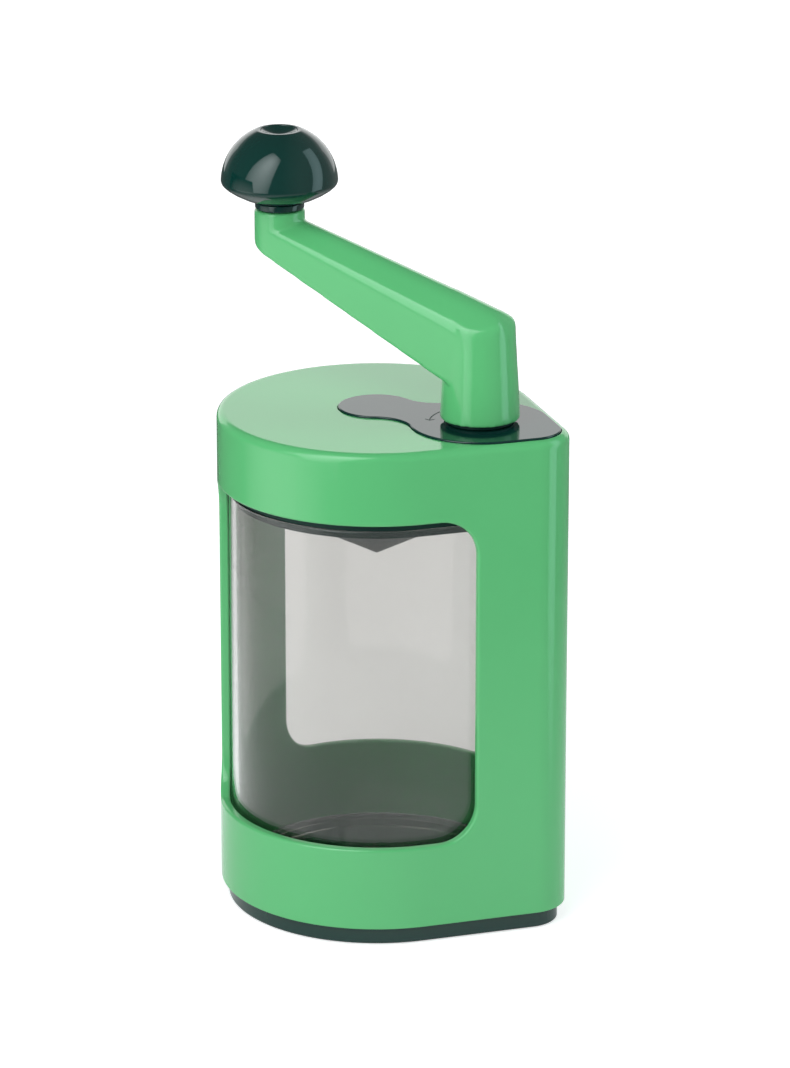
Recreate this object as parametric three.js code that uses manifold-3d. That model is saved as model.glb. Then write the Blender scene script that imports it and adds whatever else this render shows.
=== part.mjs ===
// Hand-cranked rotary slicer. A sleeve with a geared, spiked spindle sits over a clear container
// and slides down it as the food is pressed against the blade insert on the container's rim.
// Millimetres, +Z up. The origin is on the axis of the round part, on the standing face,
// and +X points at the body's square corner, where the crank turns.

import * as THREE from 'three';
import { mergeVertices } from 'three/addons/utils/BufferGeometryUtils.js';
import { ConvexGeometry } from 'three/addons/geometries/ConvexGeometry.js';
import Module from 'manifold-3d';

const wasm = await Module();
wasm.setup();

// Clearances shared by all pieces
const seatGap = 0.3;
const turnGap = 0.3;
const slideGap = 0.6;
const overrun = 1;

// Body outline: a round part with one square corner
const bodyRadius = 50;
const bodyCornerRadius = 13;

// Sleeve
const housingHeight = 155.5;
const housingWall = 3;
const housingTopWall = 3;
const housingTopEdgeRadius = 2.5;
const housingFootEdgeRadius = 1;
const windowSillHeight = 26.7;
const windowBandHeight = 23;
const windowCornerRadius = 12;
const windowBackDegrees = 158;
const windowFlatReach = 17;

// Anti-slip pad and base tray
const padThickness = 1;
const padInset = 9;
const trayProud = 0.5;
const trayHeight = 5.6;
const trayInset = 2.3;
const trayFloor = 1.5;
const trayEdgeRadius = 1.2;

// Clear container
const containerWall = 2;
const containerFloor = 2;
const containerFootStep = 2.8;
const headroom = 22.6;

// Blade insert, blade and its screws
const insertFlange = 3;
const insertSkirtDepth = 3;
const insertSkirtWall = 1.5;
const insertConeStep = 0.6;
const insertConeDepth = 22.5;
const insertConeWall = 2.6;
const bladeWidth = 10;
const bladeThickness = 0.8;
const bladeBevel = 2;
const bladeLip = 1;
const bladeEdgeShare = 0.75;
const bladeAxisReach = 7;
const bladeRimReach = 10.6;
const throatWidth = 7;
const bladeScrewRadius = 1.2;
const bladeScrewHeadRadius = 2.4;
const bladeScrewHeadHeight = 1.2;
const bladeScrewInset = 5;

// Gears
const crankSetback = 16.3;
const crankGearTeeth = 16;
const spindleGearTeeth = 32;
const gearThickness = 4.5;
const gearBacklash = 0.3;
const pressureDegrees = 20;
const toothRootShare = 1.25;
const gearHeadroom = 3.2;
const crankDriveSide = 5.8;
const spindleDriveSide = 7;

// Gearbox plate, its screws and the bosses that they go into
const plateThickness = 2.5;
const plateDrop = 0.6;
const plateWallGap = 1.5;
const plateScrewInset = 12;
const plateScrewRadius = 1.5;
const plateScrewHeadRadius = 2.8;
const plateScrewHeadHeight = 1.8;
const plateScrewDegrees = [60, 140, -140, -60];
const bossRadius = 3.6;

// Bushes
const bushWall = 1.6;
const bushFlangeWidth = 2.2;
const bushFlangeThickness = 1.2;

// Spindle and food holder
const spindleRadius = 5;
const driveScrewRadius = 1.6;
const driveScrewLength = 8;
const spindleScrewHeadRadius = 5.6;
const driveScrewHeadHeight = 2;
const holderRimReach = 9;
const holderRim = 2.5;
const holderHubRadius = 9;
const holderTipRadius = 8;
const holderShell = 3;
const prongCount = 6;
const prongRadius = 1.1;
const prongReach = 4.5;
const prongPoint = 2.5;

// Cover plate over the gears
const coverThickness = 1.8;
const coverProud = 0.6;
const coverInset = 2.6;
const coverSpindleLobe = 12;
const coverWaistRadius = 12;

// Crank
const crankReach = 70;
const hubLift = 1.6;
const hubFootRadius = 12.2;
const hubTopRadius = 11.4;
const hubHeight = 34.1;
const crankEdgeRadius = 4;
const armTopRise = 21.4;
const armRoot = 24.8;
const armTipDepth = 12.1;
const postRadius = 7.9;
const postHeadroom = 2.3;
const crankShaftRadius = 4.2;
const crankSocketDepth = 20;
const collarRadius = 10;
const collarThickness = 1;
const crankScrewHeadRadius = 4.8;

// Knob
const knobRadius = 18.1;
const knobSkirtDepth = 5.6;
const knobFootRadius = 8.2;
const knobRimRadius = 1.2;
const knobLipRadius = 6.5;
const knobCapRadius = 5.4;
const knobCapDish = 1.6;
const knobPocketDepth = 7;
const knobWasherRadius = 7.7;
const knobWasherThickness = 2.1;
const knobAxleRadius = 2.5;
const knobAxleSocket = 12;
const knobAxleHeadRadius = 4.6;
const knobAxleHeadHeight = 2.2;

// Fineness of the round shapes
const outlineSteps = 45;
const cornerSteps = 6;
const edgeSteps = 3;
const roundSteps = 28;
const pinSteps = 12;
const flankSteps = 2;

// Plan sizes worked out from the sizes above
const bodyCornerOffset = (bodyRadius - bodyCornerRadius) * Math.SQRT2;
const containerInset = housingWall + slideGap;
const containerFootInset = containerInset + containerFootStep;
const skirtInset = containerInset + containerWall + seatGap;
const insertConeRadius = bodyRadius - skirtInset - insertSkirtWall - insertConeStep;
const holderRadius = insertConeRadius - holderRimReach;
const holderWallInside = holderRadius - holderShell;
const prongCircle = (holderHubRadius + holderWallInside) / 2;
const plateScrewCircle = bodyRadius - plateScrewInset;
const crankX = bodyCornerOffset - crankSetback;
const gearModule = 2 * crankX / (crankGearTeeth + spindleGearTeeth);
const knobX = crankX - crankReach;
const coverCrankLobe = bodyRadius - crankX * Math.SQRT1_2 - coverInset;

// Heights worked out from the sizes above
const padSeat = padThickness + seatGap;
const trayFloorTop = padSeat + trayFloor;
const containerFootBottom = trayFloorTop + seatGap;
const containerFloorBottom = trayHeight + seatGap;
const containerFloorTop = containerFloorBottom + containerFloor;
const housingBottom = trayHeight + seatGap;
const housingTop = housingBottom + housingHeight;
const ceiling = housingTop - housingTopWall;
const windowBottom = housingBottom + windowSillHeight;
const windowTop = housingTop - windowBandHeight;
const containerTop = ceiling - headroom;
const flangeBottom = containerTop + seatGap;
const flangeTop = flangeBottom + insertFlange;
const coneTip = flangeBottom - insertConeDepth;
const coneSlope = insertConeDepth / insertConeRadius;
const coneAngle = Math.atan(coneSlope);
const coneRise = insertConeWall / Math.cos(coneAngle);
const bladeLength = insertConeRadius / Math.cos(coneAngle) - bladeAxisReach - bladeRimReach;
const gearTop = ceiling - gearHeadroom;
const gearBottom = gearTop - gearThickness;
const plateTop = gearBottom - plateDrop;
const plateBottom = plateTop - plateThickness;
const bushFlangeTop = plateBottom - seatGap;
const holderTop = bushFlangeTop - bushFlangeThickness - turnGap;
const holderEdge = holderTop - holderRim;
const holderTip = holderEdge - (holderRadius - holderTipRadius) * coneSlope;
const holderScrewSeat = holderTip + driveScrewHeadHeight + seatGap;
const holderDriveFloor = holderScrewSeat + holderShell;
const coverTop = housingTop + coverProud;
const coverBottom = coverTop - coverThickness;
const coverSeat = coverBottom - seatGap;
const hubBottom = coverTop + hubLift;
const hubTop = hubBottom + hubHeight;

const rad = THREE.MathUtils.degToRad;

// A closed geometry becomes a solid: vertices are merged, flat triangles are dropped,
// and the faces are turned outwards if the shape came out inside out.
function solid(geometry) {
  const bare = geometry.clone();
  bare.deleteAttribute('normal');
  bare.deleteAttribute('uv');
  const merged = mergeVertices(bare);
  const places = merged.attributes.position.array;
  const index = merged.index.array;
  const corners = [];
  let volume = 0;
  for (let i = 0; i < index.length; i += 3) {
    const [a, b, c] = [index[i], index[i + 1], index[i + 2]];
    if (a !== b && b !== c && c !== a) {
      corners.push(a, b, c);
      volume += signedVolume(places, a, b, c);
    }
  }
  if (volume < 0) corners.reverse();
  const mesh = new wasm.Mesh({
    numProp: 3,
    vertProperties: new Float32Array(places),
    triVerts: new Uint32Array(corners),
  });
  return new wasm.Manifold(mesh);
}

// Six times the volume between one triangle and the origin
function signedVolume(places, a, b, c) {
  const first = new THREE.Vector3().fromArray(places, 3 * a);
  const second = new THREE.Vector3().fromArray(places, 3 * b);
  const third = new THREE.Vector3().fromArray(places, 3 * c);
  return first.dot(second.cross(third));
}

function join(first, ...others) {
  return others.reduce((whole, other) => whole.add(other), first);
}

function cut(first, ...others) {
  return others.reduce((whole, other) => whole.subtract(other), first);
}

// A round solid from [radius, height] pairs. A profile off the axis closes on itself.
function turned(profile, x = 0, y = 0, steps = roundSteps) {
  const points = profile.map(([radius, height]) => new THREE.Vector2(radius, height));
  const closes = points[0].x > 0;
  if (closes) points.push(points[0].clone());
  const geometry = new THREE.LatheGeometry(points, steps);
  geometry.rotateX(Math.PI / 2);
  geometry.translate(x, y, 0);
  return solid(geometry);
}

// An upright cylinder from one height to another
function rod(radius, bottom, top, x = 0, y = 0, steps = roundSteps) {
  return turned([[0, bottom], [radius, bottom], [radius, top], [0, top]], x, y, steps);
}

// An upright ring
function ring(inner, outer, bottom, top, x = 0, y = 0, steps = roundSteps) {
  return turned([[inner, bottom], [outer, bottom], [outer, top], [inner, top]], x, y, steps);
}

// An upright square bar
function squareBar(side, bottom, top, x = 0, y = 0) {
  const geometry = new THREE.BoxGeometry(side, side, top - bottom);
  geometry.translate(x, y, (bottom + top) / 2);
  return solid(geometry);
}

// A flat outline raised from one height to another
function raised(shape, bottom, top) {
  const geometry = new THREE.ExtrudeGeometry(shape, { depth: top - bottom, bevelEnabled: false });
  geometry.translate(0, 0, bottom);
  return solid(geometry);
}

// The body outline drawn in by an inset: the round part, then the square corner
function outlinePoints(inset) {
  const points = [];
  const round = bodyRadius - inset;
  const corner = bodyCornerRadius - inset;
  for (let i = 0; i <= outlineSteps; i += 1) {
    const angle = rad(45 + 270 * i / outlineSteps);
    points.push(new THREE.Vector2(round * Math.cos(angle), round * Math.sin(angle)));
  }
  for (let i = 0; i <= cornerSteps; i += 1) {
    const angle = rad(-45 + 90 * i / cornerSteps);
    const x = bodyCornerOffset + corner * Math.cos(angle);
    points.push(new THREE.Vector2(x, corner * Math.sin(angle)));
  }
  return points;
}

// A solid with the body outline at each level, listed upwards as [inset, height] pairs
function bodySolid(levels) {
  const count = outlineSteps + cornerSteps + 2;
  const places = [];
  const index = [];
  for (const [inset, height] of levels) {
    for (const point of outlinePoints(inset)) places.push(point.x, point.y, height);
  }
  for (let level = 0; level < levels.length - 1; level += 1) {
    for (let i = 0; i < count; i += 1) {
      const a = level * count + i;
      const b = level * count + (i + 1) % count;
      index.push(a, b, b + count, a, b + count, a + count);
    }
  }
  const lid = THREE.ShapeUtils.triangulateShape(outlinePoints(levels[0][0]), []);
  const top = (levels.length - 1) * count;
  for (const [a, b, c] of lid) index.push(c, b, a, top + a, top + b, top + c);
  const geometry = new THREE.BufferGeometry();
  geometry.setAttribute('position', new THREE.Float32BufferAttribute(places, 3));
  geometry.setIndex(index);
  return solid(geometry);
}

// Levels of a rounded edge that closes in towards a top face
function topEdge(inset, height, radius) {
  const levels = [];
  for (let i = 0; i <= edgeSteps; i += 1) {
    const angle = Math.PI / 2 * i / edgeSteps;
    const drop = radius * (1 - Math.sin(angle));
    levels.push([inset + radius * (1 - Math.cos(angle)), height - drop]);
  }
  return levels;
}

// Levels of a rounded edge that opens out from a bottom face
function footEdge(inset, height, radius) {
  return topEdge(inset, 0, radius).map(([edge, level]) => [edge, height - level]).reverse();
}

// The place on the body outline at a distance along it from the middle of the round back:
// round at first, then straight along the flat side
function outlineStation(distance, inset) {
  const arcLength = bodyRadius * rad(135);
  const angle = -Math.PI + Math.min(distance, arcLength) / bodyRadius;
  const along = Math.max(distance - arcLength, 0);
  const round = bodyRadius - inset;
  const x = round * Math.cos(angle) - along * Math.sin(angle);
  const y = round * Math.sin(angle) + along * Math.cos(angle);
  return [x, y];
}

// The cutter for one window: a curved sheet with four rounded corners, on one side of the body
function windowCutter(side) {
  const start = bodyRadius * rad(180 - windowBackDegrees);
  const end = bodyRadius * rad(135) + windowFlatReach;
  const stations = [];
  for (let i = 0; i <= edgeSteps * 2; i += 1) {
    const angle = Math.PI / 2 * i / (edgeSteps * 2);
    const run = windowCornerRadius * (1 - Math.cos(angle));
    const trim = windowCornerRadius * (1 - Math.sin(angle));
    stations.push([start + run, trim]);
  }
  const middleSteps = Math.round(outlineSteps / 3);
  const middle = end - start - 2 * windowCornerRadius;
  for (let i = 1; i < middleSteps; i += 1) {
    stations.push([start + windowCornerRadius + middle * i / middleSteps, 0]);
  }
  for (let i = edgeSteps * 2; i >= 0; i -= 1) {
    const [station, trim] = stations[i];
    stations.push([end - (station - start), trim]);
  }
  const places = [];
  const index = [];
  for (const [distance, trim] of stations) {
    const [outerX, outerY] = outlineStation(distance, -overrun);
    const [innerX, innerY] = outlineStation(distance, housingWall + overrun);
    places.push(outerX, side * outerY, windowBottom + trim);
    places.push(outerX, side * outerY, windowTop - trim);
    places.push(innerX, side * innerY, windowTop - trim);
    places.push(innerX, side * innerY, windowBottom + trim);
  }
  for (let i = 0; i < stations.length - 1; i += 1) {
    for (let k = 0; k < 4; k += 1) {
      const a = 4 * i + k;
      const b = 4 * i + (k + 1) % 4;
      index.push(a, b, b + 4, a, b + 4, a + 4);
    }
  }
  const last = 4 * (stations.length - 1);
  index.push(2, 1, 0, 3, 2, 0);
  index.push(last, last + 1, last + 2, last, last + 2, last + 3);
  const geometry = new THREE.BufferGeometry();
  geometry.setAttribute('position', new THREE.Float32BufferAttribute(places, 3));
  geometry.setIndex(index);
  return solid(geometry);
}

// The outline of a spur gear with involute flanks. The first tooth points at firstDegrees.
function gearShape(teeth, firstDegrees) {
  const pitch = gearModule * teeth / 2;
  const base = pitch * Math.cos(rad(pressureDegrees));
  const tip = pitch + gearModule;
  const root = pitch - toothRootShare * gearModule;
  const thickness = Math.PI * gearModule / 2 - gearBacklash;
  const involute = (radius) => {
    const roll = Math.sqrt(Math.max(radius * radius / (base * base) - 1, 0));
    return roll - Math.atan(roll);
  };
  const halfTooth = (radius) => thickness / (2 * pitch) + involute(pitch) - involute(radius);
  const flank = [[root, halfTooth(Math.max(root, base))]];
  for (let i = 0; i <= flankSteps; i += 1) {
    const radius = Math.max(root, base) + (tip - Math.max(root, base)) * i / flankSteps;
    if (radius > root) flank.push([radius, halfTooth(radius)]);
  }
  const points = [];
  for (let tooth = 0; tooth < teeth; tooth += 1) {
    const middle = rad(firstDegrees + 360 * tooth / teeth);
    const rising = flank.map(([radius, half]) => [radius, middle - half]);
    const falling = flank.map(([radius, half]) => [radius, middle + half]).reverse();
    for (const [radius, angle] of [...rising, ...falling]) {
      points.push(new THREE.Vector2(radius * Math.cos(angle), radius * Math.sin(angle)));
    }
  }
  return new THREE.Shape(points);
}

// Places of the screws that hold the gearbox plate
function plateScrewPlaces() {
  return plateScrewDegrees.map((degrees) => {
    const angle = rad(degrees);
    return [plateScrewCircle * Math.cos(angle), plateScrewCircle * Math.sin(angle)];
  });
}

const group = new THREE.Group();

// Adds a finished solid to the model under its name, with a finish of its own
function addPiece(name, shape, finish, place = null) {
  const mesh = shape.getMesh();
  const geometry = new THREE.BufferGeometry();
  const places = new THREE.Float32BufferAttribute(mesh.vertProperties, 3);
  geometry.setAttribute('position', places);
  geometry.setIndex(new THREE.Uint32BufferAttribute(mesh.triVerts, 1));
  geometry.computeVertexNormals();
  const piece = new THREE.Mesh(geometry, new THREE.MeshStandardMaterial(finish));
  piece.name = name;
  (place ?? group).add(piece);
}

const lightGreen = { color: 0x5fbf7a, roughness: 0.16, metalness: 0 };
const darkGreen = { color: 0x16403a, roughness: 0.14, metalness: 0 };
const clear = { color: 0xdfe3e0, roughness: 0.05, metalness: 0, transparent: true, opacity: 0.3 };
const white = { color: 0xe9e9e4, roughness: 0.4, metalness: 0 };
const steel = { color: 0xb9bdc0, roughness: 0.25, metalness: 1 };
const rubber = { color: 0x22262a, roughness: 0.85, metalness: 0 };

// The anti-slip pad under the base
function addFootPad() {
  addPiece('foot_pad', bodySolid([[padInset, 0], [padInset, padThickness]]), rubber);
}

// The tray that the container stands in
function addBaseTray() {
  const levels = footEdge(trayInset, trayProud, trayEdgeRadius);
  levels.push([trayInset, trayHeight]);
  const padRecess = bodySolid([
    [padInset - seatGap, trayProud - overrun],
    [padInset - seatGap, padSeat],
  ]);
  const footRecess = bodySolid([
    [containerFootInset - seatGap, trayFloorTop],
    [containerFootInset - seatGap, trayHeight + overrun],
  ]);
  addPiece('base_tray', cut(bodySolid(levels), padRecess, footRecess), darkGreen);
}

// The clear container, with a stepped foot ring that drops into the tray
function addContainer() {
  const outside = bodySolid([
    [containerFootInset, containerFootBottom],
    [containerFootInset, containerFloorBottom],
    [containerInset, containerFloorBottom],
    [containerInset, containerTop],
  ]);
  const wallInset = containerInset + containerWall;
  const inside = bodySolid([
    [wallInset, containerFloorTop],
    [wallInset, containerTop + overrun],
  ]);
  const footInset = containerFootInset + containerWall;
  const underside = bodySolid([
    [footInset, containerFootBottom - overrun],
    [footInset, containerFloorBottom],
  ]);
  addPiece('container', cut(outside, inside, underside), clear);
}

// A group whose X runs up the cone along the blade and whose Z stands square on the cone
function bladeSeat() {
  const seat = new THREE.Group();
  const middle = (bladeAxisReach + bladeLength / 2) * Math.cos(coneAngle);
  seat.rotation.set(0, -coneAngle, Math.PI / 2, 'ZYX');
  seat.position.set(0, middle, coneTip + coneRise + coneSlope * middle);
  seat.updateMatrix();
  return seat;
}

// Places of the blade's screws along the blade, measured from its middle
function bladeScrewPlaces() {
  const reach = bladeLength / 2 - bladeScrewInset;
  return [-reach, reach];
}

const bladeScrewY = -(bladeWidth + bladeBevel) / 2;

// A box between two corners in the blade's own frame, carried to where the blade sits
function seatBox(low, high) {
  const geometry = new THREE.BoxGeometry(high[0] - low[0], high[1] - low[1], high[2] - low[2]);
  geometry.translate((low[0] + high[0]) / 2, (low[1] + high[1]) / 2, (low[2] + high[2]) / 2);
  geometry.applyMatrix4(bladeSeat().matrix);
  return solid(geometry);
}

// The blade insert: a flange on the container's rim, a skirt inside it and a hanging cone
function addBladeInsert() {
  const flange = bodySolid([[containerInset, flangeBottom], [containerInset, flangeTop]]);
  const skirt = cut(
    bodySolid([[skirtInset, flangeBottom - insertSkirtDepth], [skirtInset, flangeBottom + overrun]]),
    bodySolid([
      [skirtInset + insertSkirtWall, flangeBottom - insertSkirtDepth - overrun],
      [skirtInset + insertSkirtWall, flangeBottom],
    ]),
  );
  const cone = turned([
    [0, coneTip],
    [insertConeRadius, flangeBottom],
    [insertConeRadius, flangeTop],
    [0, flangeTop],
  ], 0, 0, outlineSteps);
  const hollowRadius = (flangeTop + overrun - coneTip - coneRise) / coneSlope;
  const hollow = turned([
    [0, coneTip + coneRise],
    [hollowRadius, flangeTop + overrun],
    [0, flangeTop + overrun],
  ], 0, 0, outlineSteps);
  const half = bladeLength / 2;
  const recess = seatBox(
    [-half - seatGap, -bladeWidth - seatGap, -seatGap],
    [half + seatGap, 0, insertConeWall],
  );
  const throat = seatBox(
    [-half + bladeBevel, -bladeLip, -insertConeWall - overrun],
    [half - bladeBevel, throatWidth - bladeLip, insertConeWall],
  );
  let insert = cut(join(flange, skirt, cone), hollow, recess, throat);
  for (const x of bladeScrewPlaces()) {
    const hole = new THREE.CylinderGeometry(
      bladeScrewRadius + seatGap,
      bladeScrewRadius + seatGap,
      4 * insertConeWall,
      pinSteps,
    );
    hole.rotateX(Math.PI / 2);
    hole.translate(x, bladeScrewY, 0);
    hole.applyMatrix4(bladeSeat().matrix);
    insert = cut(insert, solid(hole));
  }
  addPiece('blade_insert', insert, darkGreen);
}

// The blade with its ground edge over the throat, and the screws that hold it from below
function addBlade() {
  const seat = bladeSeat();
  group.add(seat);
  const section = new THREE.Shape([
    new THREE.Vector2(0, bladeThickness),
    new THREE.Vector2(0, bladeThickness * bladeEdgeShare),
    new THREE.Vector2(-bladeBevel, 0),
    new THREE.Vector2(-bladeWidth, 0),
    new THREE.Vector2(-bladeWidth, bladeThickness),
  ]);
  const strip = new THREE.ExtrudeGeometry(section, { depth: bladeLength, bevelEnabled: false });
  strip.translate(0, 0, -bladeLength / 2);
  strip.applyMatrix4(new THREE.Matrix4().makeBasis(
    new THREE.Vector3(0, 1, 0),
    new THREE.Vector3(0, 0, 1),
    new THREE.Vector3(1, 0, 0),
  ));
  let blade = solid(strip);
  for (const x of bladeScrewPlaces()) {
    const radius = bladeScrewRadius + seatGap;
    blade = cut(blade, rod(radius, -overrun, bladeThickness + overrun, x, bladeScrewY, pinSteps));
  }
  addPiece('slicing_blade', blade, steel, seat);
  bladeScrewPlaces().forEach((x, i) => {
    const under = -insertConeWall - 2 * seatGap;
    const screw = turned([
      [0, under - bladeScrewHeadHeight],
      [bladeScrewHeadRadius, under - bladeScrewHeadHeight],
      [bladeScrewHeadRadius, under],
      [bladeScrewRadius, under],
      [bladeScrewRadius, bladeThickness],
      [0, bladeThickness],
    ], x, bladeScrewY, pinSteps);
    addPiece(`blade_screw_${i + 1}`, screw, steel, seat);
  });
}

// The sleeve: an open-bottomed shell with two windows, bosses for the plate's screws,
// a hole for the crank's bush and a shallow seat for the cover
function addHousing() {
  const outside = bodySolid([
    ...footEdge(0, housingBottom, housingFootEdgeRadius),
    ...topEdge(0, housingTop, housingTopEdgeRadius),
  ]);
  const inside = bodySolid([
    [housingWall, housingBottom - overrun],
    [housingWall, ceiling],
  ]);
  let housing = cut(outside, inside, windowCutter(1), windowCutter(-1));
  for (const [x, y] of plateScrewPlaces()) {
    const bottom = plateTop + seatGap;
    const boss = ring(plateScrewRadius + seatGap, bossRadius, bottom, ceiling + overrun, x, y, pinSteps);
    housing = join(housing, boss);
  }
  const holeRadius = crankShaftRadius + turnGap + bushWall + seatGap;
  const hole = rod(holeRadius, ceiling - overrun, housingTop + overrun, crankX);
  const seat = coverSolid(seatGap, coverSeat, housingTop + overrun);
  addPiece('housing', cut(housing, hole, seat), lightGreen);
}

// The cover's outline as a solid: a lobe over the spindle, a waist, and a larger lobe over
// the crank that runs along the body's flat sides into its corner
function coverSolid(grow, bottom, top) {
  const small = coverSpindleLobe + grow;
  const large = coverCrankLobe + grow;
  const waist = coverWaistRadius - grow;
  const near = small + waist;
  const far = large + waist;
  const waistX = (crankX * crankX + near * near - far * far) / (2 * crankX);
  const waistY = Math.sqrt(near * near - waistX * waistX);
  const touch = Math.atan2(waistY, waistX);
  const farTouch = Math.atan2(waistY, waistX - crankX);
  const shape = new THREE.Shape();
  shape.absarc(0, 0, small, touch, 2 * Math.PI - touch, false);
  shape.absarc(waistX, -waistY, waist, Math.PI - touch, Math.PI - farTouch, true);
  shape.absarc(crankX, 0, large, -farTouch, rad(-45), false);
  const corner = bodyCornerRadius - coverInset + grow;
  shape.absarc(bodyCornerOffset, 0, corner, rad(-45), rad(45), false);
  shape.absarc(crankX, 0, large, rad(45), farTouch, false);
  shape.absarc(waistX, waistY, waist, farTouch - Math.PI, touch - Math.PI, true);
  return raised(new THREE.Shape(shape.getPoints(pinSteps)), bottom, top);
}

// The dark cover over the gears, with a hole for the crank's shaft
function addCover() {
  const hole = rod(crankShaftRadius + turnGap, coverBottom - overrun, coverTop + overrun, crankX);
  addPiece('gear_cover', cut(coverSolid(0, coverBottom, coverTop), hole), darkGreen);
}

// The flanged bush that the crank's shaft turns in
function addCrankBush() {
  const inner = crankShaftRadius + turnGap;
  const outer = inner + bushWall;
  const bush = turned([
    [inner, ceiling - seatGap - bushFlangeThickness],
    [outer + bushFlangeWidth, ceiling - seatGap - bushFlangeThickness],
    [outer + bushFlangeWidth, ceiling - seatGap],
    [outer, ceiling - seatGap],
    [outer, coverSeat],
    [inner, coverSeat],
  ], crankX);
  addPiece('crank_bush', bush, white);
}

// The plate under the gears, with its screws and the flanged bush of the spindle
function addGearboxPlate() {
  const inset = housingWall + plateWallGap;
  let plate = bodySolid([[inset, plateBottom], [inset, plateTop]]);
  const bushRadius = spindleRadius + turnGap + bushWall;
  plate = cut(
    plate,
    rod(bushRadius + seatGap, plateBottom - overrun, plateTop + overrun),
    rod(crankScrewHeadRadius + turnGap, plateBottom - overrun, plateTop + overrun, crankX),
  );
  plateScrewPlaces().forEach(([x, y], i) => {
    const radius = plateScrewRadius + seatGap;
    plate = cut(plate, rod(radius, plateBottom - overrun, plateTop + overrun, x, y, pinSteps));
    const under = plateBottom - seatGap;
    const screw = turned([
      [0, under - plateScrewHeadHeight],
      [plateScrewHeadRadius, under - plateScrewHeadHeight],
      [plateScrewHeadRadius, under],
      [plateScrewRadius, under],
      [plateScrewRadius, ceiling - seatGap],
      [0, ceiling - seatGap],
    ], x, y, pinSteps);
    addPiece(`plate_screw_${i + 1}`, screw, steel);
  });
  addPiece('gearbox_plate', plate, white);
  const inner = spindleRadius + turnGap;
  const bush = turned([
    [inner, bushFlangeTop - bushFlangeThickness],
    [bushRadius + bushFlangeWidth, bushFlangeTop - bushFlangeThickness],
    [bushRadius + bushFlangeWidth, bushFlangeTop],
    [bushRadius, bushFlangeTop],
    [bushRadius, plateTop],
    [inner, plateTop],
  ]);
  addPiece('spindle_bush', bush, white);
}

// The spindle: shaft, gear and the screw that holds the gear
function addSpindle() {
  const drive = spindleDriveSide;
  const shaftFoot = holderDriveFloor + seatGap;
  const screwHole = driveScrewRadius + seatGap;
  const shaft = cut(
    join(
      rod(spindleRadius, holderTop + seatGap, gearBottom - seatGap),
      squareBar(drive, shaftFoot, gearTop),
    ),
    rod(screwHole, gearTop - driveScrewLength, gearTop + overrun, 0, 0, pinSteps),
    rod(screwHole, shaftFoot - overrun, shaftFoot + driveScrewLength, 0, 0, pinSteps),
  );
  addPiece('spindle_shaft', shaft, steel);
  const halfPitch = 180 / spindleGearTeeth;
  const gear = cut(
    raised(gearShape(spindleGearTeeth, halfPitch), gearBottom, gearTop),
    squareBar(drive + 2 * seatGap, gearBottom - overrun, gearTop + overrun),
  );
  addPiece('spindle_gear', gear, white);
  addPiece('spindle_gear_screw', turned([
    [0, gearTop - driveScrewLength + seatGap],
    [driveScrewRadius, gearTop - driveScrewLength + seatGap],
    [driveScrewRadius, gearTop + seatGap],
    [spindleScrewHeadRadius, gearTop + seatGap],
    [spindleScrewHeadRadius, gearTop + seatGap + driveScrewHeadHeight],
    [0, gearTop + seatGap + driveScrewHeadHeight],
  ]), steel);
}

// The spiked holder that grips the food, the screw that holds it and its prongs
function addFoodHolder() {
  const inset = holderShell / Math.cos(coneAngle);
  const pocketFloor = holderEdge - holderShell * coneSlope + inset;
  const hubFoot = pocketFloor - (holderWallInside - holderHubRadius) * coneSlope;
  const body = turned([
    [0, holderTip],
    [holderTipRadius, holderTip],
    [holderRadius, holderEdge],
    [holderRadius, holderTop],
    [holderWallInside, holderTop],
    [holderWallInside, pocketFloor],
    [holderHubRadius, hubFoot],
    [holderHubRadius, holderTop],
    [0, holderTop],
  ]);
  let holder = cut(
    body,
    squareBar(spindleDriveSide + 2 * seatGap, holderDriveFloor, holderTop + overrun),
    rod(driveScrewRadius + seatGap, holderTip - overrun, holderTop, 0, 0, pinSteps),
    rod(spindleScrewHeadRadius + seatGap, holderTip - overrun, holderScrewSeat),
  );
  for (let i = 0; i < prongCount; i += 1) {
    const angle = 2 * Math.PI * i / prongCount;
    const x = prongCircle * Math.cos(angle);
    const y = prongCircle * Math.sin(angle);
    const surface = holderTip + (prongCircle - holderTipRadius) * coneSlope;
    const top = surface + inset / 2;
    holder = cut(holder, rod(prongRadius + seatGap, surface - holderShell, top + seatGap, x, y, pinSteps));
    const tip = surface - prongReach;
    const prong = turned([
      [0, tip],
      [prongRadius, tip + prongPoint],
      [prongRadius, top],
      [0, top],
    ], x, y, pinSteps);
    addPiece(`holder_prong_${i + 1}`, prong, steel);
  }
  addPiece('food_holder', holder, darkGreen);
  addPiece('holder_screw', turned([
    [0, holderTip],
    [spindleScrewHeadRadius, holderTip],
    [spindleScrewHeadRadius, holderTip + driveScrewHeadHeight],
    [driveScrewRadius, holderTip + driveScrewHeadHeight],
    [driveScrewRadius, holderDriveFloor + driveScrewLength],
    [0, holderDriveFloor + driveScrewLength],
  ]), steel);
}

// The height of the arm's top and underside over a place along it
function armTopAt(x) {
  return hubTop + armTopRise * (crankX - x) / crankReach;
}

function armBottomAt(x) {
  const atHub = hubTop - armRoot;
  const atKnob = hubTop + armTopRise - armTipDepth;
  return atHub + (atKnob - atHub) * (crankX - x) / crankReach;
}

const postTop = hubTop + armTopRise + postHeadroom;

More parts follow.
